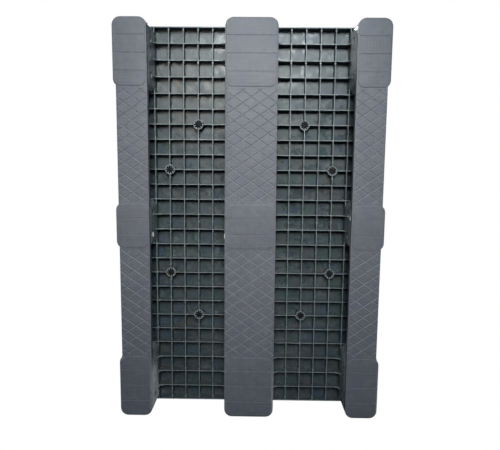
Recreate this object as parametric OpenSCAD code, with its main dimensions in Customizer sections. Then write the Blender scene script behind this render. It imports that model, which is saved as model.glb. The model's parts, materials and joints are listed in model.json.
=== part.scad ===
// Plastic pallet: a closed deck on nine hollow legs, with three runners clipped on underneath.
// X is across the pallet, Y is along it and Z is up. The origin is on the floor under the middle.

/* [Overall size] */
// Length of the pallet, along Y
pallet_l = 1200; // [1100:10:1300]
// Width of the pallet, along X
pallet_w = 800; // [790:2:840]
// Height from the floor to the top of the deck
pallet_h = 150; // [140:1:165]
// Radius of the upright corners of the deck, the legs and the runners
corner_r = 24; // [16:1:30]

/* [Deck] */
// Thickness of the closed deck plate
plate_t = 4; // [3:0.5:6]
// Depth of the ribs under the plate
rib_depth = 33; // [26:1:40]
// Thickness of every rib and of the rim
rib_t = 3.5; // [2.5:0.1:4.5]
// Distance between the lengthwise ribs over a fork channel
column_pitch = 45.2; // [44:0.1:46]
// Distance from the middle to the rib line above each side of a middle leg
first_line_x = 75.6; // [70:0.1:78]
// Number of rib cells above the middle runner
middle_cells = 3; // [2:1:4]
// Number of rib cells above a side runner
side_cells = 2; // [1:1:3]
// Length of a drain slot in the plate, along Y
drain_l = 17; // [12:1:20]
// Width of a drain slot
drain_w = 8; // [6:0.5:10]

/* [Legs] */
// Length of the leg zone at each end of the pallet
end_zone = 200; // [188:1:204]
// Length of the leg zone half way along
mid_zone = 144; // [138:1:154]
// Thickness of the leg walls
leg_wall = 3.5; // [3:0.5:4.5]
// Radius of the webs that carry the ribs down the leg walls
web_r = 16; // [12:1:40]
// Length of the windows for the runner's hooks
window_l = 16; // [14:1:24]
// Height of those windows
window_h = 20; // [14:1:30]
// Height from the top of the runner to the windows
window_rise = 26; // [12:1:30]
// Height of the drain notch at the foot of a middle side leg
notch_h = 14; // [8:1:20]

/* [Runners] */
// Height of the runners
runner_h = 22; // [20:1:26]
// Thickness of a runner's floor
runner_floor = 5; // [4:0.5:6]
// Thickness of a runner's upright walls
runner_wall = 4; // [3.5:0.5:5]
// Step in from a leg's wall to the runner under it, on the channel side
runner_step = 3.2; // [2:0.1:3.2]
// How much narrower a side runner is between its pads
runner_waist = 8; // [3:0.5:10]
// Height of the raised pads under the legs
pad_rise = 1.5; // [1:0.1:2]
// Margin between a runner's edge and its raised pad
pad_margin = 5; // [3:0.5:6]
// Width of the grooves across a pad
groove_w = 2.4; // [1.5:0.1:3]

/* [Anti-slip plugs] */
// Outer radius of a plug socket
socket_r = 15.5; // [14.5:0.1:17]
// Inner radius of a plug socket
socket_bore_r = 13; // [12:0.1:13.5]
// Number of fins inside a socket
fin_count = 9; // [6:1:10]
// Thickness of a fin
fin_t = 1.6; // [1:0.1:2]
// Radius of a plug's shank
shank_r = 7.4; // [6:0.1:8]
// Radius of a plug's head
head_r = 11; // [10:0.1:12]
// Height of a plug's head above the deck
head_rise = 1; // [0.8:0.1:2]

/* [Hidden] */
$fn = 64;

// Heights
plate_z = pallet_h - plate_t;
rib_z = plate_z - rib_depth;
leg_h = rib_z - runner_h;

// Rib lines across the pallet
channel_cells = 5;
edge_line_x = first_line_x + channel_cells * column_pitch;
rim_line_x = (pallet_w - rib_t) / 2;
function column_x(j) = first_line_x + j * column_pitch;
function lines(a, b, cells) = [for (i = [0:cells]) a + (b - a) * i / cells];

// Rib lines along the pallet. The end, side opening and middle zones have their own pitch.
end_cells = 4;
window_cells = 7;
mid_cells = 3;
rows = 2 * end_cells + 2 * window_cells + mid_cells;
window_zone = (pallet_l - mid_zone) / 2 - end_zone;
function row_y(i) = i > rows / 2 ? -row_y(rows - i)
    : i <= end_cells ? -pallet_l / 2 + i * end_zone / end_cells
    : i <= end_cells + window_cells
        ? -pallet_l / 2 + end_zone + (i - end_cells) * window_zone / window_cells
    : -mid_zone / 2 + (i - end_cells - window_cells) * mid_zone / mid_cells;
rim_line_y = (pallet_l - rib_t) / 2;
rib_rows = concat([-rim_line_y], [for (i = [1:rows - 1]) row_y(i)], [rim_line_y]);

// Legs: r is 0 at the front, 1 half way and 2 at the rear; side is -1, 0 or 1 from left to right
leg_rows = [[0, end_cells],
            [end_cells + window_cells, rows - end_cells - window_cells],
            [rows - end_cells, rows]];
function leg_y0(r) = max(-pallet_l / 2, row_y(leg_rows[r][0]) - rib_t / 2);
function leg_y1(r) = min(pallet_l / 2, row_y(leg_rows[r][1]) + rib_t / 2);
function leg_x1(side) = side > 0 ? pallet_w / 2
    : side < 0 ? rib_t / 2 - edge_line_x
    : first_line_x + rib_t / 2;
function leg_x0(side) = -leg_x1(-side);

// Windows in the leg walls: two in each long wall, off the middle by window_offset
window_z = runner_h + window_rise;
window_offset = [end_zone / 4 + 2, mid_zone / 4 - 2.5, end_zone / 4 + 2];
function window_ys(r) = [for (s = [-1, 1]) (leg_y0(r) + leg_y1(r)) / 2 + s * window_offset[r]];

// Runners and their pads. A pad is a little shorter than its leg zone.
pad_short = 4;
groove_depth = 1;
groove_pitch = end_zone / end_cells;
function runner_x1(side) = side > 0 ? pallet_w / 2 : leg_x1(side) - runner_step;
function runner_x0(side) = -runner_x1(-side);
function pad_y0(r) = r == 0 ? -pallet_l / 2 : -pad_y1(2 - r);
function pad_y1(r) = r == 0 ? -pallet_l / 2 + end_zone - pad_short
    : r == 1 ? (mid_zone - pad_short) / 2
    : pallet_l / 2;

// Hooks stand inside the leg walls, at the end of each window that is away from the leg's middle
hook_l = 9;
hook_t = 2.5;
hook_gap = 0.3;
hook_nose = 2.5;
hook_nose_h = 8;
hook_top = 2;
hook_end_gap = 1;

// Sockets in each fork channel: lengthwise line and cross line of the rib crossing
socket_lines = [[2, 6], [4, 9], [4, rows - 9], [2, rows - 6]];
function socket_at(side, k) = [side * column_x(socket_lines[k][0]), row_y(socket_lines[k][1])];
plug_gap = 0.1;
plug_end_z = rib_z + 5;
dimple_r = 2;
dimple_depth = 8;

// Drain slots: two beside the middle runner and one above the notch of each middle side leg
drain_places = [[-82, -472], [-82, 51], [-321, 47], [321, -11]];
notch_y = 27;

ends = ["front", "centre", "rear"];
sides = ["left", "middle", "right"];

// A rectangle with round corners from corner a to corner b, drawn in by an inset
module round_rect(a, b, r, inset = 0) {
    a1 = [a.x + inset, a.y + inset];
    b1 = [b.x - inset, b.y - inset];
    r1 = r - inset;
    translate([a1.x + r1, a1.y])
        square([b1.x - a1.x - 2 * r1, b1.y - a1.y]);
    translate([a1.x, a1.y + r1])
        square([b1.x - a1.x, b1.y - a1.y - 2 * r1]);
    for (x = [a1.x + r1, b1.x - r1])
        for (y = [a1.y + r1, b1.y - r1])
            translate([x, y])
                circle(r = r1);
}

// The outline of the whole deck
module deck_outline(inset = 0) {
    round_rect([-pallet_w / 2, -pallet_l / 2], [pallet_w / 2, pallet_l / 2], corner_r, inset);
}

// The open cells between rib lines at xs and ys
module cells(xs, ys) {
    for (i = [0:len(xs) - 2])
        for (j = [0:len(ys) - 2])
            translate([xs[i] + rib_t / 2, ys[j] + rib_t / 2])
                square([xs[i + 1] - xs[i] - rib_t, ys[j + 1] - ys[j] - rib_t]);
}

// A block of ribs from x0 to x1, inside the rim
module rib_block(x0, x1, xs) {
    linear_extrude(rib_depth)
        difference() {
            intersection() {
                deck_outline(rib_t);
                translate([x0, -pallet_l / 2])
                    square([x1 - x0, pallet_l]);
            }
            cells(xs, rib_rows);
        }
}

// Deck plate: closed, with holes for the plugs and a few drain slots
module deck_plate() {
    color([0.36, 0.37, 0.39])
        translate([0, 0, plate_z])
            linear_extrude(plate_t)
                difference() {
                    deck_outline();
                    for (side = [-1, 1])
                        for (k = [0:3])
                            translate(socket_at(side, k))
                                circle(r = shank_r + plug_gap);
                    for (place = drain_places)
                        translate(place)
                            square([drain_w, drain_l], center = true);
                }
}

// Rim: the upright wall round the deck
module deck_rim() {
    color([0.34, 0.35, 0.37])
        translate([0, 0, rib_z])
            linear_extrude(rib_depth)
                difference() {
                    deck_outline();
                    deck_outline(rib_t);
                }
}

// A socket for a plug: a tube with fins that grip the shank
module socket_fins() {
    fin_in = shank_r + plug_gap;
    for (i = [0:fin_count - 1])
        rotate(i * 360 / fin_count)
            translate([fin_in, -fin_t / 2, 0])
                cube([(socket_bore_r + socket_r) / 2 - fin_in, fin_t, rib_depth]);
}

// Ribs over a fork channel, with the sockets at their crossings
module channel_ribs(side) {
    xs = lines(min(side * first_line_x, side * edge_line_x),
               max(side * first_line_x, side * edge_line_x), channel_cells);
    color([0.44, 0.45, 0.46])
        translate([0, 0, rib_z]) {
            difference() {
                union() {
                    rib_block(xs[0] - rib_t / 2, xs[channel_cells] + rib_t / 2, xs);
                    for (k = [0:3])
                        translate(socket_at(side, k))
                            cylinder(h = rib_depth, r = socket_r);
                }
                for (k = [0:3])
                    translate([0, 0, -1] + concat(socket_at(side, k), 0))
                        cylinder(h = rib_depth + 2, r = socket_bore_r);
            }
            for (k = [0:3])
                translate(socket_at(side, k))
                    socket_fins();
        }
}

// Ribs above a side runner
module side_ribs(side) {
    near = edge_line_x + rib_t / 2;
    far = pallet_w / 2 - rib_t;
    xs = lines(min(side * edge_line_x, side * rim_line_x),
               max(side * edge_line_x, side * rim_line_x), side_cells);
    color([0.42, 0.43, 0.45])
        translate([0, 0, rib_z])
            rib_block(min(side * near, side * far), max(side * near, side * far), xs);
}

// Ribs above the middle runner
module middle_ribs() {
    half = first_line_x - rib_t / 2;
    color([0.42, 0.43, 0.45])
        translate([0, 0, rib_z])
            rib_block(-half, half, lines(-first_line_x, first_line_x, middle_cells));
}

// A web under a rib, from the leg wall at the origin out along X, with a hollow curve below
module web() {
    blunt = 1.5;
    translate([0, rib_t / 2, -web_r])
        rotate([90, 0, 0])
            linear_extrude(rib_t)
                difference() {
                    square(web_r);
                    translate([web_r, 0])
                        circle(r = web_r - blunt);
                }
}

// A hollow leg with cross walls inside, windows for the hooks, and webs towards the fork channels.
// The middle side legs have a drain notch at the foot of the inner wall.
module leg(r, side) {
    a = [leg_x0(side), leg_y0(r)];
    b = [leg_x1(side), leg_y1(r)];
    mid = (a + b) / 2;
    color([0.38, 0.39, 0.41]) {
        difference() {
            translate([0, 0, runner_h])
                linear_extrude(leg_h)
                    difference() {
                        round_rect(a, b, corner_r);
                        difference() {
                            round_rect(a, b, corner_r, leg_wall);
                            translate([mid.x - rib_t / 2, a.y])
                                square([rib_t, b.y - a.y]);
                            translate([a.x, mid.y - rib_t / 2])
                                square([b.x - a.x, rib_t]);
                        }
                    }
            for (y = window_ys(r))
                for (x = [a.x - 1, b.x - leg_wall - 1])
                    translate([x, y - window_l / 2, window_z])
                        cube([leg_wall + 2, window_l, window_h]);
            if (r == 1 && side != 0)
                translate([side < 0 ? b.x - leg_wall - 1 : a.x - 1, -side * notch_y - drain_l / 2,
                           runner_h - 1])
                    cube([leg_wall + 2, drain_l, notch_h + 1]);
        }
        for (i = [leg_rows[r][0] + 1:leg_rows[r][1] - 1]) {
            if (side <= 0)
                translate([b.x, row_y(i), rib_z])
                    web();
            if (side >= 0)
                translate([a.x, row_y(i), rib_z])
                    mirror([1, 0, 0])
                        web();
        }
    }
}

// The outline of a runner: three pad shapes joined by a narrower strip
module runner_outline(side, inset = 0) {
    x0 = runner_x0(side) + (side < 0 ? runner_waist : 0) + inset;
    x1 = runner_x1(side) - (side > 0 ? runner_waist : 0) - inset;
    half_l = pallet_l / 2 - corner_r;
    for (r = [0:2])
        pad_outline(r, side, inset);
    translate([x0, -half_l])
        square([x1 - x0, 2 * half_l]);
}

module pad_outline(r, side, inset) {
    round_rect([runner_x0(side), pad_y0(r)], [runner_x1(side), pad_y1(r)], corner_r, inset);
}

// Grooves across the pad: at every rib pitch from the pallet's end, or two about the middle
module pad_grooves(r, side) {
    ys = r == 1 ? [-mid_zone / 6, mid_zone / 6]
        : [for (i = [1:3]) (r - 1) * (pallet_l / 2 - i * groove_pitch)];
    for (y = ys)
        translate([runner_x0(side) + pad_margin - 1, y - groove_w / 2, -1])
            cube([runner_x1(side) - runner_x0(side) - 2 * pad_margin + 2, groove_w, groove_depth + 1]);
}

// A hook on the runner, with its nose towards +X and its outer face at the origin
module hook() {
    foot_z = pad_rise + runner_floor / 2;
    top_z = window_z + hook_nose_h + hook_top;
    translate([-hook_t, -hook_l / 2, foot_z])
        cube([hook_t, hook_l, top_z - foot_z]);
    translate([-hook_t / 2, hook_l / 2, window_z + hook_gap])
        rotate([90, 0, 0])
            linear_extrude(hook_l)
                polygon([[0, 0], [hook_t / 2 + hook_nose, 0], [hook_t / 2 + hook_nose, 1],
                         [hook_t / 2, hook_nose_h], [0, hook_nose_h]]);
}

// The hooks for one leg, just inside its two long walls
module leg_hooks(r, side) {
    mid_y = (leg_y0(r) + leg_y1(r)) / 2;
    in_wall = leg_wall + hook_gap;
    away = (window_l - hook_l) / 2 - hook_end_gap;
    for (y = window_ys(r)) {
        hook_y = y + sign(y - mid_y) * away;
        translate([leg_x1(side) - in_wall, hook_y, 0])
            hook();
        translate([leg_x0(side) + in_wall, hook_y, 0])
            mirror([1, 0, 0])
                hook();
    }
}

// A runner: a ribbed tray with raised pads under the legs, and hooks on top
module runner(side) {
    xs = lines(runner_x0(side), runner_x1(side), 2);
    color([0.5, 0.51, 0.53]) {
        difference() {
            union() {
                translate([0, 0, pad_rise])
                    linear_extrude(runner_floor)
                        runner_outline(side);
                for (r = [0:2])
                    linear_extrude(pad_rise + 1)
                        pad_outline(r, side, pad_margin);
            }
            for (r = [0:2])
                pad_grooves(r, side);
        }
        translate([0, 0, pad_rise + runner_floor])
            linear_extrude(runner_h - pad_rise - runner_floor)
                difference() {
                    runner_outline(side);
                    intersection() {
                        runner_outline(side, runner_wall);
                        cells(xs, rib_rows);
                    }
                }
        for (r = [0:2])
            leg_hooks(r, side);
    }
}

// An anti-slip plug: a round head on the deck and a shank with a dimple in its lower end
module grip_plug(side, k) {
    color([0.12, 0.12, 0.13])
        translate(socket_at(side, k))
            difference() {
                union() {
                    translate([0, 0, pallet_h])
                        cylinder(h = head_rise, r = head_r);
                    translate([0, 0, plug_end_z])
                        cylinder(h = pallet_h - plug_end_z, r = shank_r);
                }
                translate([0, 0, plug_end_z - 1])
                    cylinder(h = dimple_depth + 1, r = dimple_r);
            }
}

deck_plate();
deck_rim();
channel_ribs(-1);  // channel_ribs_left
channel_ribs(1);  // channel_ribs_right
side_ribs(-1);  // side_ribs_left
side_ribs(1);  // side_ribs_right
middle_ribs();
for (r = [0:2])
    for (c = [0:2])
        leg(r, c - 1);
for (c = [0:2])
    runner(c - 1);
for (i = [0:7])
    grip_plug(i < 4 ? -1 : 1, i % 4);
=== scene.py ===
import json
from math import acos, atan2, cos, degrees, hypot, pi, radians, sin

import bmesh
import bpy
import numpy as np
from mathutils import Matrix, Vector

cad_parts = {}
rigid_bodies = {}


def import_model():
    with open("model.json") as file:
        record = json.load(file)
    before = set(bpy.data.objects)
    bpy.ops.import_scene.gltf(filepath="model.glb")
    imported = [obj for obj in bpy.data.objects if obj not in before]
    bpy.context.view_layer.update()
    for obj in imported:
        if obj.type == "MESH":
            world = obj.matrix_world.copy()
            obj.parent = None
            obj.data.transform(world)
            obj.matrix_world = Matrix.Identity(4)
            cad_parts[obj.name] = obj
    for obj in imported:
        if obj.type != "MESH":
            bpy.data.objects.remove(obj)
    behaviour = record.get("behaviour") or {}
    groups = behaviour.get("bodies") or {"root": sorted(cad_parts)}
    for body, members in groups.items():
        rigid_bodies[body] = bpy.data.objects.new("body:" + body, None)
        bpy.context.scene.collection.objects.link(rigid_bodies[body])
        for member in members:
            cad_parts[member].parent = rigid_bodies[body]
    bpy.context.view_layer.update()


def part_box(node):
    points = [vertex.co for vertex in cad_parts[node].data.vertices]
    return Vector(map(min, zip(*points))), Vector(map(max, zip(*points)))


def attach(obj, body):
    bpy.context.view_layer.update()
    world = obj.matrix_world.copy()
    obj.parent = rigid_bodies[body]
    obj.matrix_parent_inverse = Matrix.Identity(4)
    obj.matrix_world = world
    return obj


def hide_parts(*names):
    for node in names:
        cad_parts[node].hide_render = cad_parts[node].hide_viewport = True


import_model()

MM = 0.001

# ---- Sizes and places, read from the CAD nodes ----

deck_low, deck_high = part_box("deck_plate")
HALF_W, HALF_L = deck_high.x, deck_high.y
PLATE_Z, DECK_Z = deck_low.z, deck_high.z
RIB_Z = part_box("deck_rim")[0].z
RUNNER_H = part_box("leg_front_left")[0].z
RIB_T = 3.5 * MM
CORNER_R = 24 * MM

channel_low, channel_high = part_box("channel_ribs_right")
CHANNEL_CELLS, MIDDLE_CELLS = 5, 3
END_CELLS, SPAN_CELLS, CENTRE_CELLS = 4, 7, 3
FIRST_X = channel_low.x + RIB_T / 2
EDGE_X = channel_high.x - RIB_T / 2
END_Y = -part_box("leg_front_right")[1].y + RIB_T / 2
MID_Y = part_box("leg_centre_right")[1].y - RIB_T / 2


def spaced(a, b, cells):
    """The lines that divide a to b into equal cells, both ends included."""
    return [a + (b - a) * k / cells for k in range(cells + 1)]


COLUMNS = spaced(FIRST_X, EDGE_X, CHANNEL_CELLS)
half_rows = (spaced(HALF_L, END_Y, END_CELLS)[:-1] + spaced(END_Y, MID_Y, SPAN_CELLS)[:-1]
             + [MID_Y, MID_Y / CENTRE_CELLS])
ROWS = [-y for y in half_rows] + half_rows[::-1]
RIM_X = HALF_W - RIB_T / 2
RIM_Y = HALF_L - RIB_T / 2

ENDS = ("front", "centre", "rear")
SIDES = ("left", "middle", "right")
SIGNS = {"left": -1, "middle": 0, "right": 1}
SOCKETS = {}
for number in range(1, 9):
    low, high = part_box(f"grip_plug_{number}")
    SOCKETS[number] = ((low.x + high.x) / 2, (low.y + high.y) / 2)
PLUG_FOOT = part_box("grip_plug_1")[0].z
PLUG_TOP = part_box("grip_plug_1")[1].z
HEAD_R = (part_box("grip_plug_1")[1].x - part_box("grip_plug_1")[0].x) / 2

# Legs
LEG_WALL = 3.5 * MM
LEG_INTO_RIM = 3 * MM
LEG_PROUD = 0.25 * MM
WEB_R = 16 * MM
WINDOW_L, WINDOW_H = 16 * MM, 20 * MM
WINDOW_Z = RUNNER_H + 26 * MM
end_offset = (HALF_L - END_Y) / END_CELLS + 2 * MM
WINDOW_OFFSET = {"front": end_offset, "centre": MID_Y / 2 - 2.5 * MM, "rear": end_offset}
NOTCH_L, NOTCH_H, NOTCH_Y = 17 * MM, 14 * MM, 27 * MM

# Runners
SOLE_Z = 1.5 * MM
FLOOR_Z = 6.5 * MM
RUNNER_WALL = 4 * MM
WAIST = 8 * MM
PAD_SHORT = 4 * MM
PAD_YS = [(-HALF_L, -END_Y - PAD_SHORT), (-MID_Y + PAD_SHORT / 2, MID_Y - PAD_SHORT / 2),
          (END_Y + PAD_SHORT, HALF_L)]
PAD_MARGIN = 3 * MM
HOOK_L, HOOK_T, HOOK_NOSE, HOOK_GAP = 9 * MM, 2.5 * MM, 2.5 * MM, 0.3 * MM
HOOK_SHIFT = 2.5 * MM
DIAMOND_W, DIAMOND_L = 50 * MM, 34.75 * MM
DIAMOND_START = 239.5 * MM

# Plug sockets
SOCKET_R, BORE_R, SHANK_R = 15.5 * MM, 13 * MM, 7.4 * MM
FIN_COUNT = 9

# Moulding marks under the deck, and the drain slots through its plate
GATES = [(-188.6 * MM, -380 * MM), (188.6 * MM, -428.5 * MM),
         (-188.6 * MM, 380 * MM), (188.6 * MM, 428.5 * MM)]
BOSS_YS = [-590 * MM, -493 * MM, 0, 493 * MM, 590 * MM]
DRAINS = [(-82 * MM, -472 * MM), (-82 * MM, 51 * MM), (-321 * MM, 47 * MM), (321 * MM, -11 * MM)]
DRAIN_W, DRAIN_L = 8 * MM, 17 * MM


# ---- Mesh tools ----

def object_from(name, bm):
    """An object with the mesh built so far, its faces turned outwards."""
    bmesh.ops.recalc_face_normals(bm, faces=bm.faces)
    mesh = bpy.data.meshes.new(name)
    bm.to_mesh(mesh)
    bm.free()
    return bpy.data.objects.new(name, mesh)


def arc(cx, cy, r, start, end, steps=3):
    """Points on an arc, with its angles in degrees."""
    angles = [radians(start + (end - start) * k / steps) for k in range(steps + 1)]
    return [(cx + r * cos(t), cy + r * sin(t)) for t in angles]


def box_outline(x0, y0, x1, y1, r=CORNER_R, steps=6):
    """A rectangle with round corners, as a function of how far it is drawn in."""
    def outline(inset):
        ri = r - inset
        return (arc(x1 - r, y1 - r, ri, 0, 90, steps) + arc(x0 + r, y1 - r, ri, 90, 180, steps)
                + arc(x0 + r, y0 + r, ri, 180, 270, steps) + arc(x1 - r, y0 + r, ri, 270, 360, steps))
    return outline


def rounded_box(u0, v0, u1, v1, r):
    """The points of a small rectangle with round corners."""
    return box_outline(u0, v0, u1, v1, r, 3)(0)


def ring_outline(r, steps=40):
    """A circle, as a function of how far it is drawn in."""
    def outline(inset):
        return [((r - inset) * cos(2 * pi * k / steps), (r - inset) * sin(2 * pi * k / steps))
                for k in range(steps)]
    return outline


def lofted(name, outline, levels, ring=False):
    """A solid whose levels are the outline drawn in by levels[k][0] at the height levels[k][1].
    A ring's last level joins its first, and anything else has a flat face at each end."""
    bm = bmesh.new()
    loops = [[bm.verts.new((x, y, z)) for x, y in outline(inset)] for inset, z in levels]
    for low, high in zip(loops, loops[1:] + (loops[:1] if ring else [])):
        for k in range(len(low)):
            bm.faces.new((low[k - 1], low[k], high[k], high[k - 1]))
    if not ring:
        bm.faces.new(loops[0])
        bm.faces.new(loops[-1])
    return object_from(name, bm)


def turned(name, profile, steps=48):
    """A solid of revolution from (radius, height) points that start and end on the axis."""
    bm = bmesh.new()
    foot = bm.verts.new((0, 0, profile[0][1]))
    head = bm.verts.new((0, 0, profile[-1][1]))
    loops = [[bm.verts.new((r * cos(2 * pi * k / steps), r * sin(2 * pi * k / steps), z))
              for k in range(steps)] for r, z in profile[1:-1]]
    for k in range(steps):
        bm.faces.new((foot, loops[0][k], loops[0][k - 1]))
        bm.faces.new((head, loops[-1][k - 1], loops[-1][k]))
        for low, high in zip(loops, loops[1:]):
            bm.faces.new((low[k - 1], low[k], high[k], high[k - 1]))
    return object_from(name, bm)


def sheet_part(name, outline, thickness, edge, across="y"):
    """A flat part cut from an outline in (x, z), or in (y, z) where it is across x, with soft edges."""
    bm = bmesh.new()
    half = thickness / 2
    sides = []
    for t in (-half, half):
        points = [(u, t, v) if across == "y" else (t, u, v) for u, v in outline]
        sides.append([bm.verts.new(p) for p in points])
    for k in range(len(outline)):
        bm.faces.new((sides[0][k - 1], sides[0][k], sides[1][k], sides[1][k - 1]))
    bm.faces.new(sides[0])
    bm.faces.new(sides[1])
    bmesh.ops.recalc_face_normals(bm, faces=bm.faces)
    if edge:
        sharp = [e for e in bm.edges if e.calc_face_angle() > radians(40)]
        bmesh.ops.bevel(bm, geom=sharp, offset=edge, segments=2, affect="EDGES", profile=0.5)
    return object_from(name, bm)


def bar(name, free_z, root_z, free_w, root_w, edge):
    """A rib one metre long along X, with a round free edge and thicker at its root."""
    up = 1 if root_z > free_z else -1
    start, end = (270, 360) if up > 0 else (90, 0)
    side = arc(free_w / 2 - edge, free_z + up * edge, edge, start, end, 2) + [(root_w / 2, root_z)]
    outline = side + [(-y, z) for y, z in reversed(side)]
    return sheet_part(name, outline, 1, 0, across="x")


def slide(stamp, x, y, z):
    """Moves a mesh within its own object."""
    stamp.data.transform(Matrix.Translation((x, y, z)))


# ---- Geometry Nodes: stamps that are placed, joined and cut ----

class Tree:
    """A geometry tree with named inputs."""

    def __init__(self, name, **inputs):
        self.tree = bpy.data.node_groups.new(name, "GeometryNodeTree")
        face = self.tree.interface
        face.new_socket("Places", in_out="INPUT", socket_type="NodeSocketGeometry")
        face.new_socket("Solid", in_out="OUTPUT", socket_type="NodeSocketGeometry")
        for label, kind in inputs.items():
            face.new_socket(label.replace("_", " "), in_out="INPUT", socket_type=kind)
        self.input = self.tree.nodes.new("NodeGroupInput")
        self.output = self.tree.nodes.new("NodeGroupOutput")

    def node(self, kind, settings=(), values=(), out=0):
        """Adds a node and returns one of its outputs. Settings are set before values or links."""
        made = self.tree.nodes.new(kind)
        for key, value in dict(settings).items():
            setattr(made, key, value)
        for key, value in dict(values).items():
            for part in value if isinstance(value, list) else [value]:
                if isinstance(part, bpy.types.NodeSocket):
                    self.tree.links.new(part, made.inputs[key])
                else:
                    made.inputs[key].default_value = part
        return made.outputs[out]

    def read(self, name, kind):
        return self.node("GeometryNodeInputNamedAttribute", {"data_type": kind}, {"Name": name})


def stamping_tree(operations):
    """Places the chosen stamps of each step on its points, then joins them to the solid or cuts them out."""
    t = Tree("stamped_" + "_".join(operations).lower(), Stamps="NodeSocketCollection",
             Merge_Distance="NodeSocketFloat", Finish="NodeSocketMaterial")
    stamps = t.node("GeometryNodeCollectionInfo", (), {
        "Collection": t.input.outputs["Stamps"], "Separate Children": True, "Reset Children": True})
    turn = t.node("ShaderNodeCombineXYZ", (), {"Z": t.read("turn", "FLOAT")})
    solid = None
    for step, operation in enumerate(operations):
        chosen = t.node("FunctionNodeCompare", {"data_type": "INT", "operation": "EQUAL"},
                        {2: t.read("step", "INT"), 3: step})
        points = t.node("GeometryNodeSeparateGeometry", {"domain": "POINT"},
                        {"Geometry": t.input.outputs["Places"], "Selection": chosen})
        placed = t.node("GeometryNodeInstanceOnPoints", (), {
            "Points": points, "Instance": stamps, "Pick Instance": True,
            "Instance Index": t.read("stamp", "INT"), "Rotation": turn,
            "Scale": t.read("stretch", "FLOAT_VECTOR")})
        how = {"operation": operation, "solver": "MANIFOLD"}
        if operation == "DIFFERENCE":
            solid = t.node("GeometryNodeMeshBoolean", how, {0: solid, 1: placed})
        else:
            joined = [placed] if solid is None else [solid, placed]
            solid = t.node("GeometryNodeMeshBoolean", how, {1: joined})
    solid = t.node("GeometryNodeRealizeInstances", (), {"Geometry": solid})
    solid = t.node("GeometryNodeMergeByDistance", (), {
        "Geometry": solid, "Distance": t.input.outputs["Merge Distance"]})
    solid = t.node("GeometryNodeSetMaterial", (), {
        "Geometry": solid, "Material": t.input.outputs["Finish"]})
    t.tree.links.new(solid, t.output.inputs["Solid"])
    return t.tree


TREES = {}


def at(x, y, turn=0, length=1, z=0):
    """A place for a stamp: its point, its turn about Z in degrees and its stretch along X."""
    return (x, y, z, radians(turn), length)


def moulded(name, finish, *steps):
    """Makes one solid from steps of (operation, stamp, places, stamp, places, ...), done in order."""
    operations = tuple(step[0] for step in steps)
    if operations not in TREES:
        TREES[operations] = stamping_tree(operations)
    stamps = bpy.data.collections.new("stamps_" + name)
    rows = []
    for number, step in enumerate(steps):
        for stamp, places in zip(step[1::2], step[2::2]):
            twin = bpy.data.objects.new(f"{len(stamps.objects):02d}_{name}", stamp.data)
            rows += [(number, len(stamps.objects), *place) for place in places]
            stamps.objects.link(twin)
    points = bpy.data.meshes.new("places_" + name)
    points.from_pydata([row[2:5] for row in rows], [], [])
    for label, kind, values in (("step", "INT", [row[0] for row in rows]),
                                ("stamp", "INT", [row[1] for row in rows]),
                                ("turn", "FLOAT", [row[5] for row in rows])):
        points.attributes.new(label, kind, "POINT").data.foreach_set("value", values)
    stretch = [v for row in rows for v in (row[6], 1, 1)]
    points.attributes.new("stretch", "FLOAT_VECTOR", "POINT").data.foreach_set("vector", stretch)
    piece = bpy.data.objects.new(name, points)
    bpy.context.scene.collection.objects.link(piece)
    modifier = piece.modifiers.new("stamping", "NODES")
    modifier.node_group = TREES[operations]
    wanted = {"Stamps": stamps, "Merge Distance": 0.01 * MM, "Finish": finish}
    for socket in TREES[operations].interface.items_tree:
        if socket.in_out == "INPUT" and socket.name in wanted:
            modifier[socket.identifier] = wanted[socket.name]
    bake(piece)
    for twin in list(stamps.objects):
        bpy.data.objects.remove(twin)
    bpy.data.collections.remove(stamps)
    return piece


def bake(piece):
    """Turns what the modifiers make into a plain mesh."""
    graph = bpy.context.evaluated_depsgraph_get()
    made = bpy.data.meshes.new_from_object(piece.evaluated_get(graph), preserve_all_data_layers=True,
                                           depsgraph=graph)
    piece.modifiers.clear()
    piece.data = made
    made.name = piece.name


EDGE_STRIP_W = 1.8 * MM     # a face no wider than this counts as the rounding of an edge
SMOOTH_ANGLE = 32
FLAT = 0.985                # a face counts as flat when its normal is this near to an axis
# how light the edge strips are painted: a level for rubbing wear, plus a painted highlight that grows as a
# strip faces the front end, where the light comes from
LEAST_WEAR_LIGHT, WEAR_LIGHT_LEVEL, HIGHLIGHT_LEAN = 0.1, 0.5, 1.4


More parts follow.
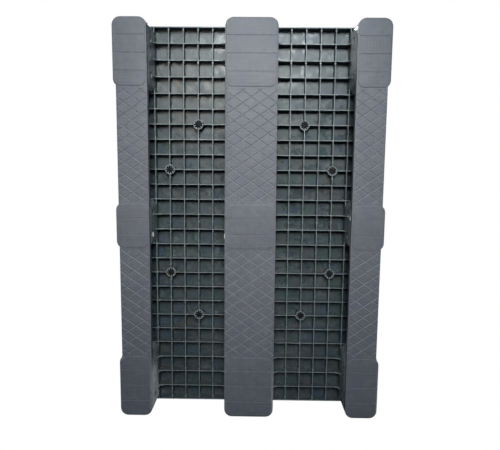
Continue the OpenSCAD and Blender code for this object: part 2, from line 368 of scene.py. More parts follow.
def mark_edges(mesh, strip_w):
    """Stores in "worn" how much lighter a face is painted, for rubbing wear and a painted highlight
    together. Narrow sloping strips are rubbed. They are painted lighter still where they face the front end,
    the
    side the light comes from: a painted highlight. The free edges of the plug sockets and their fins are
    fully lightened, as wear and a painted highlight, and other faces not at all. Stores 1 in "grimy" inside
    the sockets, where the faces are painted nearly black as a painted shade."""
    count = len(mesh.polygons)
    area, start, total = np.empty(count), np.empty(count, np.int32), np.empty(count, np.int32)
    normal = np.empty(count * 3)
    mesh.polygons.foreach_get("area", area)
    mesh.polygons.foreach_get("loop_start", start)
    mesh.polygons.foreach_get("loop_total", total)
    mesh.polygons.foreach_get("normal", normal)
    corner = np.empty(len(mesh.loops), np.int32)
    mesh.loops.foreach_get("vertex_index", corner)
    points = np.empty(len(mesh.vertices) * 3)
    mesh.vertices.foreach_get("co", points)
    points = points.reshape(-1, 3)
    following = np.arange(len(corner)) + 1
    following[start + total - 1] = start
    length = np.linalg.norm(points[corner[following]] - points[corner], axis=1)
    width = area / np.maximum.reduceat(length, start)
    sloping = np.abs(normal.reshape(-1, 3)).max(axis=1) < FLAT
    # painted highlight: strips that face the front end, towards the light, are painted lighter, and those
    # that face the rear end less
    facing = np.clip(WEAR_LIGHT_LEVEL - HIGHLIGHT_LEAN * normal.reshape(-1, 3)[:, 1], LEAST_WEAR_LIGHT, 1)
    worn = (((width < strip_w) & sloping) * facing).astype(np.float32)
    spots = points[corner]
    height = np.add.reduceat(spots[:, 2], start) / total
    # painted shade: faces deep inside each plug socket are marked to be painted nearly black
    grimy = np.zeros(count, np.float32)
    around, rubbed_and_lit_z, socket_shade_z = 0.3 * MM, RIB_Z + 1.2 * MM, RIB_Z + 2.5 * MM
    for x, y in SOCKETS.values():
        farthest = np.maximum.reduceat(np.hypot(spots[:, 0] - x, spots[:, 1] - y), start)
        grimy[(farthest < BORE_R + around) & (height > socket_shade_z)] = 1
        # the socket rims and fin tips are painted fully light: wear and a painted highlight
        worn[(farthest < SOCKET_R + around) & (height < rubbed_and_lit_z)] = 1
    for label, amount in (("worn", worn), ("grimy", grimy)):
        mesh.attributes.new(label, "FLOAT", "CORNER").data.foreach_set("value", np.repeat(amount, total))


def finished(piece, slot, *nodes, strip_w=EDGE_STRIP_W, smooth=SMOOTH_ANGLE):
    """Smooths the shading of a made piece and hands it to the frame in place of its CAD nodes."""
    mark_edges(piece.data, strip_w)
    piece.data.shade_smooth()
    piece.data.set_sharp_from_angle(angle=radians(smooth))
    if piece.name not in bpy.context.scene.collection.objects:
        bpy.context.scene.collection.objects.link(piece)
    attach(piece, "root")
    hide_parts(*nodes)


# ---- Materials ----

class Value:
    """A number that varies over a surface. Arithmetic on it adds Math nodes."""

    def __init__(self, finish, socket):
        self.finish, self.socket = finish, socket

    def __add__(self, other):
        return self.finish.math("ADD", self, other)

    def __sub__(self, other):
        return self.finish.math("SUBTRACT", self, other)

    def __rsub__(self, other):
        return self.finish.math("SUBTRACT", other, self)

    def __mul__(self, other):
        return self.finish.math("MULTIPLY", self, other)

    __radd__, __rmul__ = __add__, __mul__

    def between(self, low, high):
        """0 at low and below, 1 at high and above, and smooth in between."""
        return self.finish.node("ShaderNodeMapRange", {"interpolation_type": "SMOOTHSTEP"}, {
            "Value": self, "From Min": low, "From Max": high})


class Finish:
    """A material under construction."""

    def __init__(self, name):
        self.material = bpy.data.materials.new(name)
        self.material.use_nodes = True
        self.nodes = self.material.node_tree.nodes
        self.shader = self.nodes["Principled BSDF"]

    def link(self, value, socket):
        if isinstance(value, Value):
            self.material.node_tree.links.new(value.socket, socket)
        else:
            socket.default_value = value

    def node(self, kind, settings=(), values=(), out=0):
        """Adds a node and returns one of its outputs. Settings are set before values or links."""
        made = self.nodes.new(kind)
        for key, value in dict(settings).items():
            setattr(made, key, value)
        for key, value in dict(values).items():
            self.link(value, made.inputs[key])
        return Value(self, made.outputs[out])

    def place(self):
        """The point's own place, in metres."""
        return self.node("ShaderNodeTexCoord", out="Object")

    def height(self):
        """The height above the floor."""
        return self.node("ShaderNodeSeparateXYZ", (), {0: self.place()}, out="Z")

    def grid(self, pitch):
        """1 at the studs of a square grid and 0 half way between them."""
        place = self.place()
        waves = [self.node("ShaderNodeSeparateXYZ", (), {0: place}, out=axis) * (2 * pi / pitch)
                 for axis in "XY"]
        east, north = [self.math("SINE", wave) for wave in waves]
        return (0.5 + 0.25 * (east + north)).between(0.45, 0.9)

    def math(self, operation, a, b=0.0):
        return self.node("ShaderNodeMath", {"operation": operation}, {0: a, 1: b})

    def stretched(self, x, y, z):
        return self.node("ShaderNodeMapping", (), {"Vector": self.place(), "Scale": (x, y, z)})

    def noise(self, scale, detail=3.0, roughness=0.5, where=None, shift=0.0):
        """Noise from 0 to 1 with features about 1 / scale metres across."""
        spot = where or self.place()
        if shift:
            spot = self.node("ShaderNodeVectorMath", {"operation": "ADD"}, {
                0: spot, 1: (shift, shift, shift)})
        return self.node("ShaderNodeTexNoise", (), {
            "Vector": spot, "Scale": scale, "Detail": detail, "Roughness": roughness})

    def mix(self, a, b, share):
        return self.node("ShaderNodeMix", {"data_type": "RGBA"}, {"Factor": share, 6: a, 7: b}, out=2)

    def stored(self, label):
        """What mark_edges stored under this label."""
        return self.node("ShaderNodeAttribute", {"attribute_name": label}, out="Fac")

    def bump(self, height, strength, distance, under=None):
        values = {"Strength": strength, "Distance": distance, "Height": height}
        if under:
            values["Normal"] = under
        return self.node("ShaderNodeBump", (), values)

    def close(self, colour, roughness, normal, **constants):
        """Links what varies to the shader, sets its constants and returns the finished material."""
        self.link(colour, self.shader.inputs["Base Color"])
        self.link(roughness, self.shader.inputs["Roughness"])
        self.link(normal, self.shader.inputs["Normal"])
        for label, value in constants.items():
            self.shader.inputs[label.replace("_", " ")].default_value = value
        return self.material


# the nearly black colour painted inside the plug sockets as a painted shade
SOCKET_SHADE_BLACK = (0.016, 0.017, 0.017, 1)


def recycled_plastic(name, deep, pale, tints, edge_colour, rough, streaks, sole_z, knurl, slick):
    """Moulded recycled plastic: cloudy in colour from deep to pale, with patches of each tint, finely
    grained, scuffed, and nearer to edge_colour on rubbed edge strips and below sole_z. The edge strips are
    painted lighter still where they face the front end, a painted highlight on top of the wear. Below sole_z
    the rib soles are painted lighter as a painted highlight, partly wear too. Inside the plug sockets it is
    painted nearly black, a painted shade. Rough is its usual roughness, and slick is how much smoother its
    polished patches are. Scuffs are drawn out along Y by 1 / streaks. Knurl is the pitch of a grid of fine
    studs, or 0 for none."""
    f = Finish(name)
    clouds = f.noise(9, 3)
    mottle = f.noise(60, 4, 0.6, shift=3.1)
    speckle = f.noise(240, 3, 0.7, shift=7.7)
    grain = f.noise(1500, 2, 0.6)
    flow = f.noise(26, 4, 0.65, where=f.stretched(1, 0.22, 1), shift=1.3)
    colour = f.mix(deep, pale, (clouds * 0.35 + mottle * 0.4 + speckle * 0.25).between(0.34, 0.66))
    for number, (tint, share) in enumerate(tints):
        patch = f.noise(19, 2, shift=11.0 + 8 * number).between(0.5, 0.68)
        colour = f.mix(colour, tint, patch * share)
    smear = flow.between(0.56, 0.74) * mottle.between(0.35, 0.7)
    colour = f.mix(colour, edge_colour, smear * 0.3)
    rubbed = f.noise(420, 3, 0.7, where=f.stretched(1, streaks, 1), shift=5.0)
    # painted highlight, partly rubbing wear: the rib soles are painted lighter than the recessed cell floors
    sole = 1 - f.height().between(sole_z, sole_z + 1 * MM)
    colour = f.mix(colour, edge_colour, sole * (0.55 + 0.3 * mottle.between(0.3, 0.7)))
    # edge strips painted lighter: rubbing wear, plus a painted highlight on those that face the light
    colour = f.mix(colour, edge_colour, f.stored("worn") * (0.3 + 0.5 * mottle.between(0.3, 0.7)))
    colour = f.mix(colour, pale, rubbed.between(0.5, 0.75) * 0.45)
    # painted shade: nearly black inside the plug sockets
    colour = f.mix(colour, SOCKET_SHADE_BLACK, f.stored("grimy") * 0.9)
    wave = f.noise(28, 1, shift=23.0)
    polished = f.noise(30, 2, 0.6, shift=31.0).between(0.5, 0.6)
    roughness = (rough - slick * polished + 0.16 * (speckle - 0.5) + 0.1 * smear
                 + 0.08 * f.stored("worn") + 0.4 * f.stored("grimy"))
    normal = f.bump(grain, 0.35, 0.12 * MM)
    normal = f.bump(rubbed, 0.3, 0.18 * MM, under=normal)
    normal = f.bump(clouds, 0.5, 1.2 * MM, under=normal)
    normal = f.bump(wave, 0.6, 1.5 * MM, under=normal)
    if knurl:
        studs = f.grid(knurl) * mottle.between(0.3, 0.55)
        colour = f.mix(colour, edge_colour, studs * 0.16)
        normal = f.bump(studs, 0.5, 0.35 * MM, under=normal)
    return f.close(colour, roughness, normal, IOR=1.49)


def plug_rubber(name):
    """Soft black rubber with a dusty bloom."""
    f = Finish(name)
    dust = f.noise(130, 4, 0.65).between(0.45, 0.75)
    grain = f.noise(2200, 2, 0.6)
    # the plugs' edge strips painted lighter: rubbing wear and a painted highlight
    colour = f.mix((0.008, 0.008, 0.009, 1), (0.025, 0.024, 0.026, 1), dust * 0.5 + 0.3 * f.stored("worn"))
    roughness = 0.62 + 0.18 * dust
    return f.close(colour, roughness, f.bump(grain, 0.4, 0.1 * MM), IOR=1.38)


DECK = recycled_plastic("deck_plastic", deep=(0.036, 0.048, 0.053, 1), pale=(0.102, 0.116, 0.119, 1),
                        tints=(((0.085, 0.076, 0.07, 1), 0.6), ((0.045, 0.08, 0.072, 1), 0.75),
                               ((0.052, 0.076, 0.108, 1), 0.75)),
                        edge_colour=(0.33, 0.365, 0.37, 1), rough=0.37, streaks=0.5,
                        sole_z=RIB_Z, knurl=0, slick=0.13)
RUNNER = recycled_plastic("runner_plastic", deep=(0.158, 0.156, 0.174, 1), pale=(0.214, 0.21, 0.231, 1),
                          tints=(((0.195, 0.177, 0.195, 1), 0.6), ((0.165, 0.177, 0.18, 1), 0.6),
                                 ((0.168, 0.165, 0.215, 1), 0.6)),
                          edge_colour=(0.285, 0.28, 0.303, 1), rough=0.5, streaks=0.12,
                          sole_z=-1 * MM, knurl=9.2 * MM, slick=0)
RUBBER = plug_rubber("plug_rubber")


# ---- Stamps ----

RIB_EDGE = 0.7 * MM
RIB_SOLE_W, RIB_ROOT_W = 2.7 * MM, 3.9 * MM
INTO_PLATE = 1 * MM         # how far the ribs' roots run into the deck plate
NIP = 0.2 * MM              # how far neighbouring rib blocks overlap
OVERCUT = 5 * MM            # how far a cutter runs past what it cuts

deck_rib = bar("deck_rib", RIB_Z, PLATE_Z + INTO_PLATE, RIB_SOLE_W, RIB_ROOT_W, RIB_EDGE)
leg_wall_bar = bar("leg_wall", RUNNER_H + 0.5 * MM, RIB_Z + 1 * MM, 2.8 * MM, 3.6 * MM, RIB_EDGE)
tray_rib = bar("tray_rib", RUNNER_H, FLOOR_Z - 1 * MM, 3 * MM, 3.9 * MM, RIB_EDGE)
boss_r = 2.9 * MM
boss = lofted("ejector_boss", ring_outline(boss_r, 16),
              arc(RIB_EDGE, RIB_Z + RIB_EDGE, RIB_EDGE, 270, 180) + [(0, PLATE_Z + INTO_PLATE)])
socket_wall = SOCKET_R - BORE_R
socket_ring = lofted("socket", ring_outline(SOCKET_R), ring=True, levels=(
    arc(RIB_EDGE, RIB_Z + RIB_EDGE, RIB_EDGE, 270, 180)
    + [(0, PLATE_Z + INTO_PLATE), (socket_wall, PLATE_Z + INTO_PLATE)]
    + arc(socket_wall - RIB_EDGE, RIB_Z + RIB_EDGE, RIB_EDGE, 360, 270)))
socket_bore = lofted("socket_bore", ring_outline(BORE_R + RIB_EDGE), [
    (0, RIB_Z - OVERCUT), (0, PLATE_Z + OVERCUT)])
fin_in, fin_out = SHANK_R + 0.1 * MM, (SOCKET_R + BORE_R) / 2
fin_t, fin_edge, fin_clear, fin_slope = 2.4 * MM, 0.3 * MM, 0.1 * MM, 1.6 * MM
fin = sheet_part("fin", [(fin_in + fin_slope, RIB_Z + fin_clear), (fin_out, RIB_Z + fin_clear),
                         (fin_out, PLATE_Z + INTO_PLATE), (fin_in, PLATE_Z + INTO_PLATE),
                         (fin_in, RIB_Z + 7 * MM)], fin_t, fin_edge)


def along(lines, x0, x1, turn):
    """Ribs from x0 to x1 at each line. A turn of 90 lays them along Y."""
    middle, length = (x0 + x1) / 2, x1 - x0
    if turn:
        return [at(line, middle, 90, length) for line in lines]
    return [at(middle, line, 0, length) for line in lines]


# ---- Deck ----

def make_deck_plate():
    soft = 2.2 * MM
    slab = lofted("slab", box_outline(-HALF_W, -HALF_L, HALF_W, HALF_L),
                  [(0, PLATE_Z)] + arc(soft, DECK_Z - soft, soft, 180, 90, 4))
    depth = 0.9 * MM
    ring = lofted("gate_ring", ring_outline(7.5 * MM, 32), ring=True, levels=[
        (0.5 * MM, PLATE_Z - depth), (0, PLATE_Z - depth / 2), (0, PLATE_Z + 1 * MM),
        (2 * MM, PLATE_Z + 1 * MM), (2 * MM, PLATE_Z - depth / 2), (1.5 * MM, PLATE_Z - depth)])
    nub = turned("gate_nub", [(0, PLATE_Z - 1.6 * MM), (0.8 * MM, PLATE_Z - 1.5 * MM),
                              (1.6 * MM, PLATE_Z - 0.6 * MM), (2.2 * MM, PLATE_Z + 1 * MM),
                              (0, PLATE_Z + 1 * MM)], 20)
    hole_mouth = 0.5 * MM
    hole = lofted("plug_hole", ring_outline(SHANK_R + 0.1 * MM + hole_mouth), [
        (0, PLATE_Z - 1 * MM), (0, PLATE_Z), (hole_mouth, PLATE_Z + hole_mouth),
        (hole_mouth, DECK_Z - hole_mouth), (0, DECK_Z), (0, DECK_Z + 1 * MM)])
    slot_outline = box_outline(-DRAIN_W / 2, -DRAIN_L / 2, DRAIN_W / 2, DRAIN_L / 2, 2 * MM, 4)
    slot = lofted("drain_slot", slot_outline, [(0, PLATE_Z - 1 * MM), (0, DECK_Z + 1 * MM)])
    seat = lofted("plug_seat", ring_outline(BORE_R - 0.2 * MM), [
        (0, PLATE_Z - 0.4 * MM), (0, PLATE_Z + 1 * MM)])
    gates, sockets = [at(*g) for g in GATES], [at(*s) for s in SOCKETS.values()]
    plate = moulded("deck_plate_moulded", DECK,
                    ("UNION", slab, [at(0, 0)], ring, gates, nub, gates, seat, sockets),
                    ("DIFFERENCE", hole, sockets, slot, [at(*d) for d in DRAINS]))
    finished(plate, "deck_plastic", "deck_plate")


def make_deck_rim():
    draft, wall = 0.3 * MM, RIB_T
    rim = lofted("deck_rim_moulded", box_outline(-HALF_W, -HALF_L, HALF_W, HALF_L), ring=True, levels=(
        arc(draft + RIB_EDGE, RIB_Z + RIB_EDGE, RIB_EDGE, 270, 180)
        + [(0, PLATE_Z), (wall + 0.4 * MM, PLATE_Z)]
        + arc(wall - RIB_EDGE, RIB_Z + RIB_EDGE, RIB_EDGE, 360, 270)))
    rim.data.materials.append(DECK)
    finished(rim, "deck_plastic", "deck_rim")


def make_channel_ribs(side):
    sign = SIGNS[side]
    sockets = [SOCKETS[n] for n in SOCKETS if SOCKETS[n][0] * sign > 0]
    columns = [sign * x for x in COLUMNS]
    lengthwise = along(columns, -RIM_Y, RIM_Y, 90)
    crosswise = along(ROWS[1:-1], min(columns), max(columns), 0)
    bosses = [at(x, y) for x in columns[1:-1] for y in BOSS_YS]
    near_socket = 25 * MM
    outer = [s for s in sockets if abs(s[0]) > abs(columns[CHANNEL_CELLS // 2 + 1])]
    bosses += [at(x, y + d) for x, y in outer for d in (-near_socket, near_socket)]
    fins = [at(x, y, 360 * k / FIN_COUNT) for x, y in sockets for k in range(FIN_COUNT)]
    block = moulded(f"channel_ribs_{side}_moulded", DECK,
                    ("UNION", deck_rib, lengthwise + crosswise, boss, bosses),
                    ("DIFFERENCE", socket_bore, [at(*s) for s in sockets]),
                    ("UNION", socket_ring, [at(*s) for s in sockets], fin, fins))
    finished(block, "deck_plastic", f"channel_ribs_{side}")


def make_side_ribs(side):
    sign = SIGNS[side]
    near, far = EDGE_X + RIB_SOLE_W / 2 - NIP, RIM_X - RIB_T / 2 + NIP
    ends = sorted((sign * near, sign * far))
    middle = sign * (EDGE_X + RIM_X) / 2
    ribs = along([middle], -RIM_Y, RIM_Y, 90) + along(ROWS[1:-1], *ends, 0)
    block = moulded(f"side_ribs_{side}_moulded", DECK, ("UNION", deck_rib, ribs))
    finished(block, "deck_plastic", f"side_ribs_{side}")


def make_middle_ribs():
    reach = FIRST_X - RIB_SOLE_W / 2 + NIP
    lines = [-FIRST_X / MIDDLE_CELLS, FIRST_X / MIDDLE_CELLS]
    ribs = along(lines, -RIM_Y, RIM_Y, 90) + along(ROWS[1:-1], -reach, reach, 0)
    block = moulded("middle_ribs_moulded", DECK, ("UNION", deck_rib, ribs))
    finished(block, "deck_plastic", "middle_ribs")


# ---- Legs ----

def leg_span(end, side):
    """The x and y limits of a leg's shell."""
    low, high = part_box(f"leg_{end}_{side}")
    inner, outer = EDGE_X - RIB_T / 2, HALF_W
    x0, x1 = {"left": (-outer, -inner), "middle": (-FIRST_X - RIB_T / 2, FIRST_X + RIB_T / 2),
              "right": (inner, outer)}[side]
    return x0, low.y, x1, high.y


def window_places(end, side):
    """The x and y of each side window of a leg, and which way from the leg's middle it lies."""
    x0, y0, x1, y1 = leg_span(end, side)
    offset = WINDOW_OFFSET[end]
    return [(x, (y0 + y1) / 2 + s * offset, s) for s in (-1, 1) for x in (x0, x1)]


def make_leg(end, side):
    x0, y0, x1, y1 = leg_span(end, side)
    middle_x, middle_y = (x0 + x1) / 2, (y0 + y1) / 2
    foot, wall, top = 0.8 * MM, LEG_WALL, RIB_Z + LEG_INTO_RIM
    shell = lofted("leg_shell", box_outline(x0, y0, x1, y1, steps=8), ring=True, levels=(
        arc(foot + RIB_EDGE, RUNNER_H + RIB_EDGE, RIB_EDGE, 270, 180)
        + [(LEG_PROUD, top), (wall, top)]
        + arc(wall - 0.2 * MM - RIB_EDGE, RUNNER_H + RIB_EDGE, RIB_EDGE, 360, 270)))
    web_foot, web_t, web_edge = 1.5 * MM, 3.4 * MM, 0.6 * MM
    overlap, above = 2 * MM, 1 * MM
    curve = arc(WEB_R, -WEB_R, WEB_R - web_foot, 90, 180, 14)
    web = sheet_part("web", [(-overlap, above), (WEB_R, above)] + curve
                     + [(0, -WEB_R), (-overlap, -WEB_R)], web_t, web_edge)
    slide(web, 0, 0, RIB_Z)
    corner, cutter_t = 1.5 * MM, 12 * MM
    opening = rounded_box(-WINDOW_L / 2, WINDOW_Z, WINDOW_L / 2, WINDOW_Z + WINDOW_H, corner)
    window = sheet_part("window", opening, cutter_t, 0, across="x")
    opening = rounded_box(-NOTCH_L / 2, RUNNER_H - OVERCUT, NOTCH_L / 2, RUNNER_H + NOTCH_H, corner)
    notch = sheet_part("drain_notch", opening, cutter_t, 0, across="x")
    wall_zone = 10 * MM
    inside = [y for y in ROWS if y0 + wall_zone < y < y1 - wall_zone]
    webs = [at(x1, y) for y in inside if side != "right"]
    webs += [at(x0, y, 180) for y in inside if side != "left"]
    notches = []
    if end == "centre" and side != "middle":
        notches = [at(x1 if side == "left" else x0, -SIGNS[side] * NOTCH_Y)]
    walls = [at(middle_x, middle_y, 0, x1 - x0 - wall), at(middle_x, middle_y, 90, y1 - y0 - wall)]
    leg = moulded(f"leg_{end}_{side}_moulded", DECK,
                  ("UNION", shell, [at(0, 0)], leg_wall_bar, walls, web, webs),
                  ("DIFFERENCE", window, [at(x, y) for x, y, _ in window_places(end, side)], notch, notches))
    finished(leg, "deck_plastic", f"leg_{end}_{side}")


# ---- Runners ----

def runner_outline(side):
    """The runner's outline, as a function of how far it is drawn in. A side runner has a waist
    between its pads on the outer side."""
    low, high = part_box(f"runner_{side}")
    x0, x1, r, steps = low.x, high.x, CORNER_R, 6
    if side == "middle":
        return box_outline(x0, -HALF_L, x1, HALF_L)
    sign = SIGNS[side]
    inner, outer = (x0, x1) if sign > 0 else (-x1, -x0)

    def outline(inset):
        ri = r - inset
        reach = degrees(acos((r - WAIST - inset) / ri))
        points = arc(inner + r, -HALF_L + r, ri, 180, 270, steps)
        for k, (y0, y1) in enumerate(PAD_YS):
            points += arc(outer - r, y0 + r, ri, 270 if k == 0 else 360 - reach, 360, steps)
            points += arc(outer - r, y1 - r, ri, 0, 90 if k == 2 else reach, steps)
        points += arc(inner + r, HALF_L - r, ri, 90, 180, steps)
        return [(sign * x, y) for x, y in points]
    return outline


def pad_spans(side):
    """The x and y limits of a runner's three raised pads."""
    low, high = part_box(f"runner_{side}")
    return [(low.x, y0, high.x, y1) for y0, y1 in PAD_YS]


def lattice(x0, x1, y0, y1):
    """Places for the grooves of a diamond lattice, each cut off at the limits."""
    most, shortest = 20, 6 * MM
    middle = (x0 + x1) / 2
    slope = DIAMOND_L / DIAMOND_W
    places = []
    for n in range(-most, most + 1):
        for lean in (slope, -slope):
            y_mid = DIAMOND_START * (1 if y0 > 0 else -1) + n * DIAMOND_L
            span = sorted((middle + (y - y_mid) / lean) for y in (y0, y1))
            xa, xb = max(x0, span[0]), min(x1, span[1])
            if xb - xa > shortest:
                ya, yb = y_mid + (xa - middle) * lean, y_mid + (xb - middle) * lean
                places.append(at((xa + xb) / 2, (ya + yb) / 2, degrees(atan2(yb - ya, xb - xa)),
                                 hypot(xb - xa, yb - ya)))
    return places


def make_runner(side):
    low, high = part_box(f"runner_{side}")
    x0, x1 = low.x, high.x
    soft, lip, wall = 1.6 * MM, 0.5 * MM, RUNNER_WALL
    tray = lofted("tray", runner_outline(side), (
        arc(soft, SOLE_Z + soft, soft, 270, 180) + arc(lip, RUNNER_H - lip, lip, 180, 90, 2)
        + arc(wall - lip, RUNNER_H - lip, lip, 90, 0, 2) + [(wall + 0.5 * MM, FLOOR_Z)]))
    flank = PAD_MARGIN + 1.6 * MM
    pads = [lofted(f"pad_{k}", box_outline(*span, steps=8), [
        (flank + 0.8 * MM, 0), (flank, 0.06 * MM), (PAD_MARGIN + 0.7 * MM, SOLE_Z - 0.12 * MM),
        (PAD_MARGIN, SOLE_Z), (PAD_MARGIN, SOLE_Z + 1.5 * MM)]) for k, span in enumerate(pad_spans(side))]
    mouth = 1 * MM
    shallow = 0.9 * MM
    pad_groove = bar("pad_groove", 1 * MM, -mouth, 1.8 * MM, 4.2 * MM, 0.4 * MM)
    diamond_groove = bar("diamond_groove", SOLE_Z + shallow, SOLE_Z - shallow,
                         0.6 * MM, 9.4 * MM, 0.1 * MM)
    pitch = (HALF_L - END_Y) / END_CELLS
    groove_ys = [s * (HALF_L - k * pitch) for s in (-1, 1) for k in range(1, END_CELLS)]
    groove_ys += [-MID_Y / CENTRE_CELLS, MID_Y / CENTRE_CELLS]
    grooves = along(groove_ys, x0 + PAD_MARGIN, x1 - PAD_MARGIN, 0)
    clear, plain_edge = 3 * MM, 2 * MM
    left_waist, right_waist = [WAIST if side == outer else 0 for outer in ("left", "right")]
    edge0, edge1 = x0 + left_waist + plain_edge, x1 - right_waist - plain_edge
    front, centre, rear = PAD_YS
    diamonds = (lattice(edge0, edge1, centre[1] + clear, rear[0] - clear)
                + lattice(edge0, edge1, front[1] + clear, centre[0] - clear))
    reach = RUNNER_WALL - 1 * MM
    ribs = along(ROWS[1:-1], x0 + reach + left_waist, x1 - reach - right_waist, 0)
    ribs += along([(x0 + x1) / 2], -HALF_L + reach, HALF_L - reach, 90)
    top_z = WINDOW_Z + 10 * MM
    nose_z = WINDOW_Z + HOOK_GAP
    root_z = FLOOR_Z - 1 * MM
    hook = sheet_part("hook", [
        (-HOOK_T, root_z), (0, root_z), (0, nose_z), (HOOK_NOSE, nose_z), (HOOK_NOSE, nose_z + 1 * MM),
        (0, nose_z + 8 * MM), (0, top_z), (-HOOK_T, top_z)], HOOK_L, 0.3 * MM)
    hooks = []
    inset = LEG_WALL + HOOK_GAP
    for end in ENDS:
        centre = sum(leg_span(end, side)[0::2]) / 2
        for x, y, s in window_places(end, side):
            out = 1 if x > centre else -1
            hooks.append(at(x - out * inset, y + s * HOOK_SHIFT, 0 if out > 0 else 180))
    steps = [("UNION", tray, [at(0, 0)], pads[0], [at(0, 0)], pads[1], [at(0, 0)], pads[2], [at(0, 0)]),
             ("DIFFERENCE", pad_groove, grooves, diamond_groove, diamonds),
             ("UNION", tray_rib, ribs, hook, hooks)]
    runner = moulded(f"runner_{side}_moulded", RUNNER, *steps)
    finished(runner, "runner_plastic", f"runner_{side}", strip_w=5.2 * MM, smooth=16)


# ---- Plugs ----

def make_plug(number):
    x, y = SOCKETS[number]
    dimple_r, dimple_z = 2 * MM, PLUG_FOOT + 8 * MM
    profile = [(0, dimple_z), (dimple_r * 0.7, dimple_z - 0.3 * MM), (dimple_r, dimple_z - 1.2 * MM),
               (dimple_r, PLUG_FOOT + 0.5 * MM), (dimple_r + 0.5 * MM, PLUG_FOOT)]
    profile += arc(SHANK_R - 1.2 * MM, PLUG_FOOT + 1.2 * MM, 1.2 * MM, 270, 360, 3)
    profile += [(SHANK_R, DECK_Z), (HEAD_R - 0.3 * MM, DECK_Z)]
    profile += arc(HEAD_R - 0.5 * MM, PLUG_TOP - 0.5 * MM, 0.5 * MM, 0, 90, 3)
    for ring_r in (8.2 * MM, 5.6 * MM, 3 * MM):
        half = 0.55 * MM
        profile += [(ring_r + half, PLUG_TOP), (ring_r + half * 0.5, PLUG_TOP - 0.45 * MM),
                    (ring_r - half * 0.5, PLUG_TOP - 0.45 * MM), (ring_r - half, PLUG_TOP)]
    profile += [(0, PLUG_TOP)]
    plug = turned(f"grip_plug_{number}_rubber", profile)
    slide(plug, x, y, 0)
    plug.data.materials.append(RUBBER)
    finished(plug, "plug_rubber", f"grip_plug_{number}")


make_deck_plate()
make_deck_rim()
make_middle_ribs()
for side in ("left", "right"):
    make_channel_ribs(side)
    make_side_ribs(side)
for side in SIDES:
    for end in ENDS:
        make_leg(end, side)
    make_runner(side)
for number in SOCKETS:
    make_plug(number)


# ---- Stage, light and camera ----

def aimed(position, target, roll=0.0, up=(0, -1, 0)):
    """A matrix at position that looks at target, with its top towards up."""
    back = (Vector(position) - Vector(target)).normalized()
    right = Vector(up).cross(back).normalized()
    top = back.cross(right)
    turn = Matrix((right, top, back)).transposed().to_4x4()
    return Matrix.Translation(position) @ turn @ Matrix.Rotation(radians(roll), 4, "Z")


def add_light(name, kind, position, target, watts, colour, **settings):
    """Adds a light aimed at target. Settings are further properties of the light."""
    data = bpy.data.lights.new(name, kind)
    data.energy = watts
    data.color = colour
    for key, value in settings.items():
        setattr(data, key, value)
    light = bpy.data.objects.new(name, data)
    light.matrix_world = aimed(position, target)
    bpy.context.scene.collection.objects.link(light)
    return light


STAGE_HALF, STAGE_Z = 30, -4.6


def make_stage():
    """A pale floor. It shows, and neither lights the pallet nor is mirrored in it."""
    bm = bmesh.new()
    bm.faces.new([bm.verts.new((x * STAGE_HALF, y * STAGE_HALF, STAGE_Z))
                  for x, y in ((-1, -1), (1, -1), (1, 1), (-1, 1))])
    floor = object_from("studio_floor", bm)
    if floor.data.polygons[0].normal.z < 0:
        floor.data.flip_normals()
    f = Finish("studio_floor")
    shade = f.noise(0.6, 2)
    floor.data.materials.append(f.close(f.mix((0.78, 0.78, 0.78, 1), (0.82, 0.82, 0.82, 1), shade),
                                        0.8 + 0.05 * shade, f.bump(shade, 0.05, 1 * MM)))
    bpy.context.scene.collection.objects.link(floor)
    floor.visible_diffuse = floor.visible_glossy = False


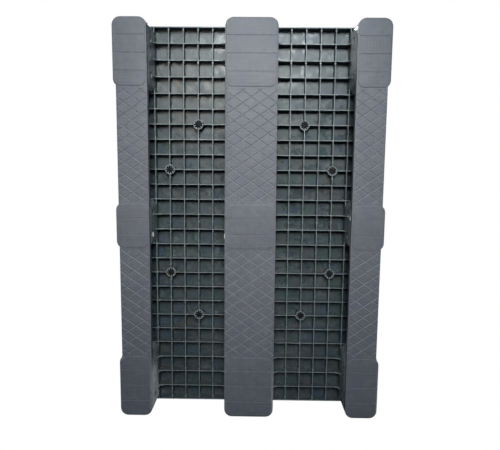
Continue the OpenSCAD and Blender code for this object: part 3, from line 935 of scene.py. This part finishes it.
def make_world():
    """White behind the pallet, and a faint blue light on it."""
    world = bpy.data.worlds.new("studio")
    bpy.context.scene.world = world
    world.use_nodes = True
    nodes, links = world.node_tree.nodes, world.node_tree.links
    nodes.clear()
    seen, cast = nodes.new("ShaderNodeBackground"), nodes.new("ShaderNodeBackground")
    seen.inputs["Color"].default_value = (1, 1, 1, 1)
    seen.inputs["Strength"].default_value = 1.0
    cast.inputs["Color"].default_value = (0.5, 0.76, 1, 1)
    cast.inputs["Strength"].default_value = 0.04
    path, mix, out = nodes.new("ShaderNodeLightPath"), nodes.new("ShaderNodeMixShader"), nodes.new(
        "ShaderNodeOutputWorld")
    links.new(path.outputs["Is Camera Ray"], mix.inputs["Fac"])
    links.new(cast.outputs[0], mix.inputs[1])
    links.new(seen.outputs[0], mix.inputs[2])
    links.new(mix.outputs[0], out.inputs["Surface"])


def make_camera():
    data = bpy.data.cameras.new("camera")
    data.sensor_fit = "HORIZONTAL"
    data.sensor_width = 36
    data.lens = 36.68
    data.clip_end = 100
    camera = bpy.data.objects.new("camera", data)
    camera.matrix_world = aimed((16 * MM, -202.3 * MM, -1503.3 * MM), (-0.4 * MM, -6.1 * MM, 0), roll=0.53)
    bpy.context.scene.collection.objects.link(camera)
    bpy.context.scene.camera = camera


make_stage()
make_world()
make_camera()
add_light("key", "SPOT", (0, -1.5, -3.9), (0, -0.16, 0.05), 150, (1, 0.93, 0.8),
          shadow_soft_size=0.2, spot_size=radians(20), spot_blend=1.0)
add_light("soft_key", "AREA", (0.1, -1.3, -2.4), (0, -0.27, 0.05), 10.6, (0.81, 0.93, 1),
          shape="SQUARE", size=0.9, spread=radians(78))
glint = add_light("glint", "AREA", (-0.436, -0.6, -1.5), (-0.2, -0.36, 0.146), 2.8, (1, 0.93, 0.82),
                  shape="SQUARE", size=0.3)
glint.visible_diffuse = False      # it only makes gloss
add_light("deck_light", "SPOT", (-0.8, -1.2, 2.6), (0, 0, 0.1), 330, (1, 1, 1),
          shadow_soft_size=0.5, spot_size=radians(36), spot_blend=0.6)
add_light("side_fill", "SPOT", (-2.8, -2.2, 0.5), (0, 0, 0.08), 360, (1, 1, 1),
          shadow_soft_size=0.4, spot_size=radians(30), spot_blend=0.6)
add_light("rear_fill", "SPOT", (2.8, 2.4, 0.6), (0, 0, 0.08), 360, (1, 1, 1),
          shadow_soft_size=0.4, spot_size=radians(30), spot_blend=0.6)
add_light("floor_light", "AREA", (0, 0, -2.8), (0, 0, STAGE_Z), 9450, (1, 1, 1),
          shape="SQUARE", size=2 * STAGE_HALF)
bpy.context.scene.view_settings.view_transform = "Standard"
